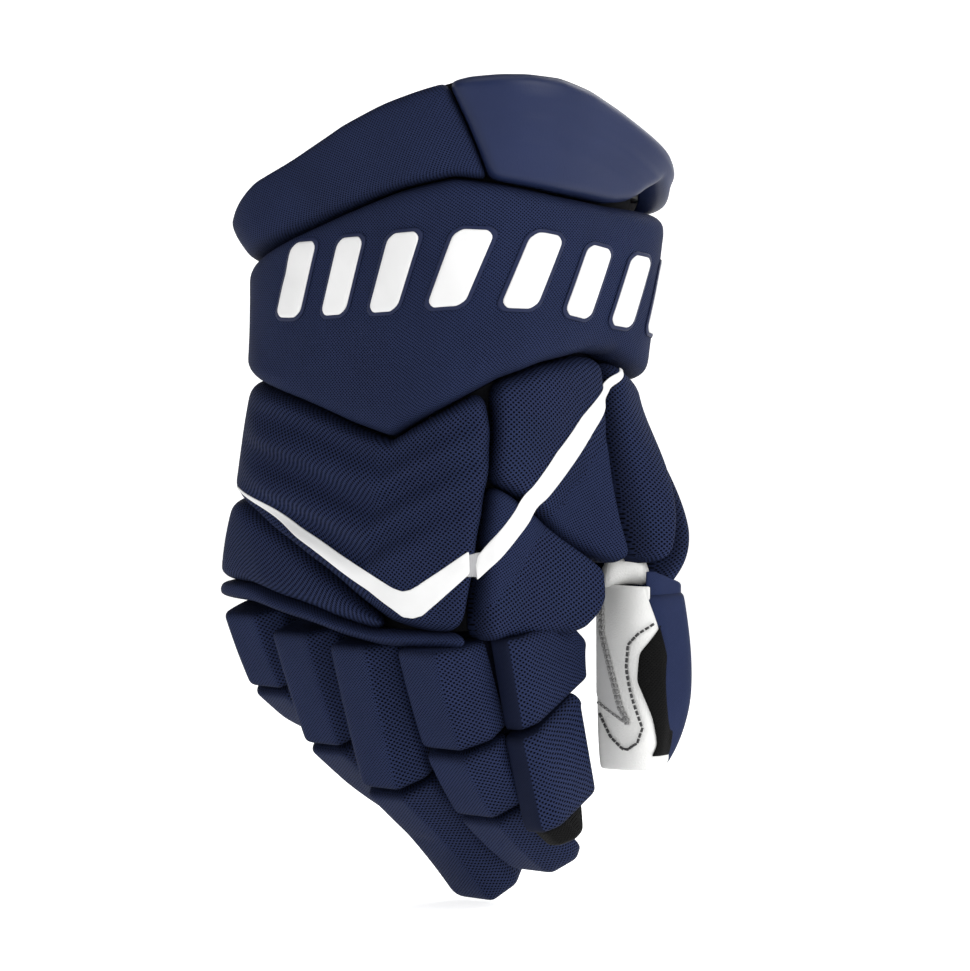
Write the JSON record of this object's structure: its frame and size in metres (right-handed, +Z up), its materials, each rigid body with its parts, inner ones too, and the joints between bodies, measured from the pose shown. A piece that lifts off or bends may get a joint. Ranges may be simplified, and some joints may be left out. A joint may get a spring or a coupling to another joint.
{
  "type": "ice hockey glove",
  "caption": "Padded right-hand ice hockey glove with a flared cuff, foam rolls on the fingers that fold at the knuckles, a bending thumb and a leather palm.",
  "frame": {"origin": "centre of the hand entry, the mouth of the cuff", "axes": "+Z up the wearer's forearm with the fingers hanging towards -Z, -Y the back of the hand, +Y the palm, +X the thumb side"},
  "size_m": [0.1803, 0.1416, 0.3271],
  "materials": {
    "navy_mesh": "coarse open knit over foam, slight sheen",
    "fine_navy_mesh": "fine knit over foam",
    "smooth_navy": "smooth moulded synthetic leather, satin",
    "palm_leather": "white suede-like synthetic leather",
    "grey_suede": "grey suede overlay",
    "black_mesh": "black stretch mesh",
    "black_elastic": "ribbed elastic",
    "lining": "brushed lining",
    "insert_plastic": "plain polyethylene"
  },
  "bodies": {
    "hand": {"backhand_lower_pad": "navy_mesh", "backhand_pad": "navy_mesh", "backhand_plate": "insert_plastic", "crotch_leather": "palm_leather", "hand_lining": "lining", "knuckle_roll": "navy_mesh", "palm_leather": "palm_leather", "palm_patch": "grey_suede", "side_lower_pad": "navy_mesh", "side_upper_pad": "navy_mesh", "thumb_root_leather": "palm_leather", "thumb_root_pad": "navy_mesh", "thumb_saddle": "navy_mesh", "thumb_side_roll": "navy_mesh", "thumb_web": "palm_leather"},
    "cuff": {"cuff_back_plate": "insert_plastic", "cuff_back_roll": "fine_navy_mesh", "cuff_elastic": "black_elastic", "cuff_lining": "lining", "cuff_thumb_plate": "insert_plastic", "cuff_thumb_shell": "smooth_navy", "wrist_band": "fine_navy_mesh"},
    "thumb": {"thumb_face": "palm_leather", "thumb_gusset": "black_mesh", "thumb_pad": "navy_mesh", "thumb_splint": "insert_plastic"},
    "index_1": {"index_gusset_1": "black_mesh", "index_roll_1": "navy_mesh", "index_side_pad_1": "navy_mesh", "index_strip_1": "palm_leather"},
    "index_2": {"index_gusset_2": "black_mesh", "index_roll_2": "navy_mesh", "index_side_pad_2": "navy_mesh", "index_strip_2": "palm_leather"},
    "index_3": {"index_gusset_3": "black_mesh", "index_roll_3": "navy_mesh", "index_strip_3": "palm_leather"},
    "little_1": {"little_gusset_1": "black_mesh", "little_roll_1": "navy_mesh", "little_strip_1": "palm_leather"},
    "little_2": {"little_gusset_2": "black_mesh", "little_roll_2": "navy_mesh", "little_strip_2": "palm_leather"},
    "middle_1": {"middle_gusset_1": "black_mesh", "middle_roll_1": "navy_mesh", "middle_strip_1": "palm_leather"},
    "middle_2": {"middle_gusset_2": "black_mesh", "middle_roll_2": "navy_mesh", "middle_strip_2": "palm_leather"},
    "ring_1": {"ring_gusset_1": "black_mesh", "ring_roll_1": "navy_mesh", "ring_strip_1": "palm_leather"},
    "ring_2": {"ring_gusset_2": "black_mesh", "ring_roll_2": "navy_mesh", "ring_strip_2": "palm_leather"}
  },
  "joints": [
    {"name": "index_knuckle", "type": "hinge", "parent": "hand", "child": "index_1", "pos_m": [0.0415, 0.01229, -0.16945], "axis": [1, 0, 0], "range_deg": [-3, 36], "stiffness_Nm_per_rad": 0.6},
    {"name": "index_middle_joint", "type": "hinge", "parent": "index_1", "child": "index_2", "pos_m": [0.0415, 0.01801, -0.19959], "axis": [1, 0, 0], "range_deg": [-3, 50], "stiffness_Nm_per_rad": 0.3},
    {"name": "index_end_joint", "type": "hinge", "parent": "index_2", "child": "index_3", "pos_m": [0.0415, 0.02594, -0.22175], "axis": [1, 0, 0], "range_deg": [-3, 30], "stiffness_Nm_per_rad": 0.15},
    {"name": "middle_knuckle", "type": "hinge", "parent": "hand", "child": "middle_1", "pos_m": [0.0065, 0.0143, -0.16991], "axis": [1, 0, 0], "range_deg": [-3, 42], "stiffness_Nm_per_rad": 0.6},
    {"name": "middle_middle_joint", "type": "hinge", "parent": "middle_1", "child": "middle_2", "pos_m": [0.0065, 0.01987, -0.21072], "axis": [1, 0, 0], "range_deg": [-3, 56], "stiffness_Nm_per_rad": 0.3},
    {"name": "ring_knuckle", "type": "hinge", "parent": "hand", "child": "ring_1", "pos_m": [-0.0265, 0.01579, -0.16382], "axis": [1, 0, 0], "range_deg": [-3, 42], "stiffness_Nm_per_rad": 0.6},
    {"name": "ring_middle_joint", "type": "hinge", "parent": "ring_1", "child": "ring_2", "pos_m": [-0.0265, 0.01996, -0.19286], "axis": [1, 0, 0], "range_deg": [-3, 56], "stiffness_Nm_per_rad": 0.3},
    {"name": "little_knuckle", "type": "hinge", "parent": "hand", "child": "little_1", "pos_m": [-0.0575, 0.01679, -0.15646], "axis": [1, 0, 0], "range_deg": [-3, 42], "stiffness_Nm_per_rad": 0.6},
    {"name": "little_middle_joint", "type": "hinge", "parent": "little_1", "child": "little_2", "pos_m": [-0.0575, 0.01586, -0.17175], "axis": [1, 0, 0], "range_deg": [-3, 56], "stiffness_Nm_per_rad": 0.3},
    {"name": "thumb_bend", "type": "hinge", "parent": "hand", "child": "thumb", "pos_m": [0.08415, 0.034, -0.16], "axis": [-1, 0, 0], "range_deg": [-3, 35], "stiffness_Nm_per_rad": 0.4},
    {"name": "wrist_flex", "type": "hinge", "parent": "hand", "child": "cuff", "pos_m": [0, 0.092, -0.078], "axis": [-1, 0, 0], "range_deg": [0, 12]}
  ]
}
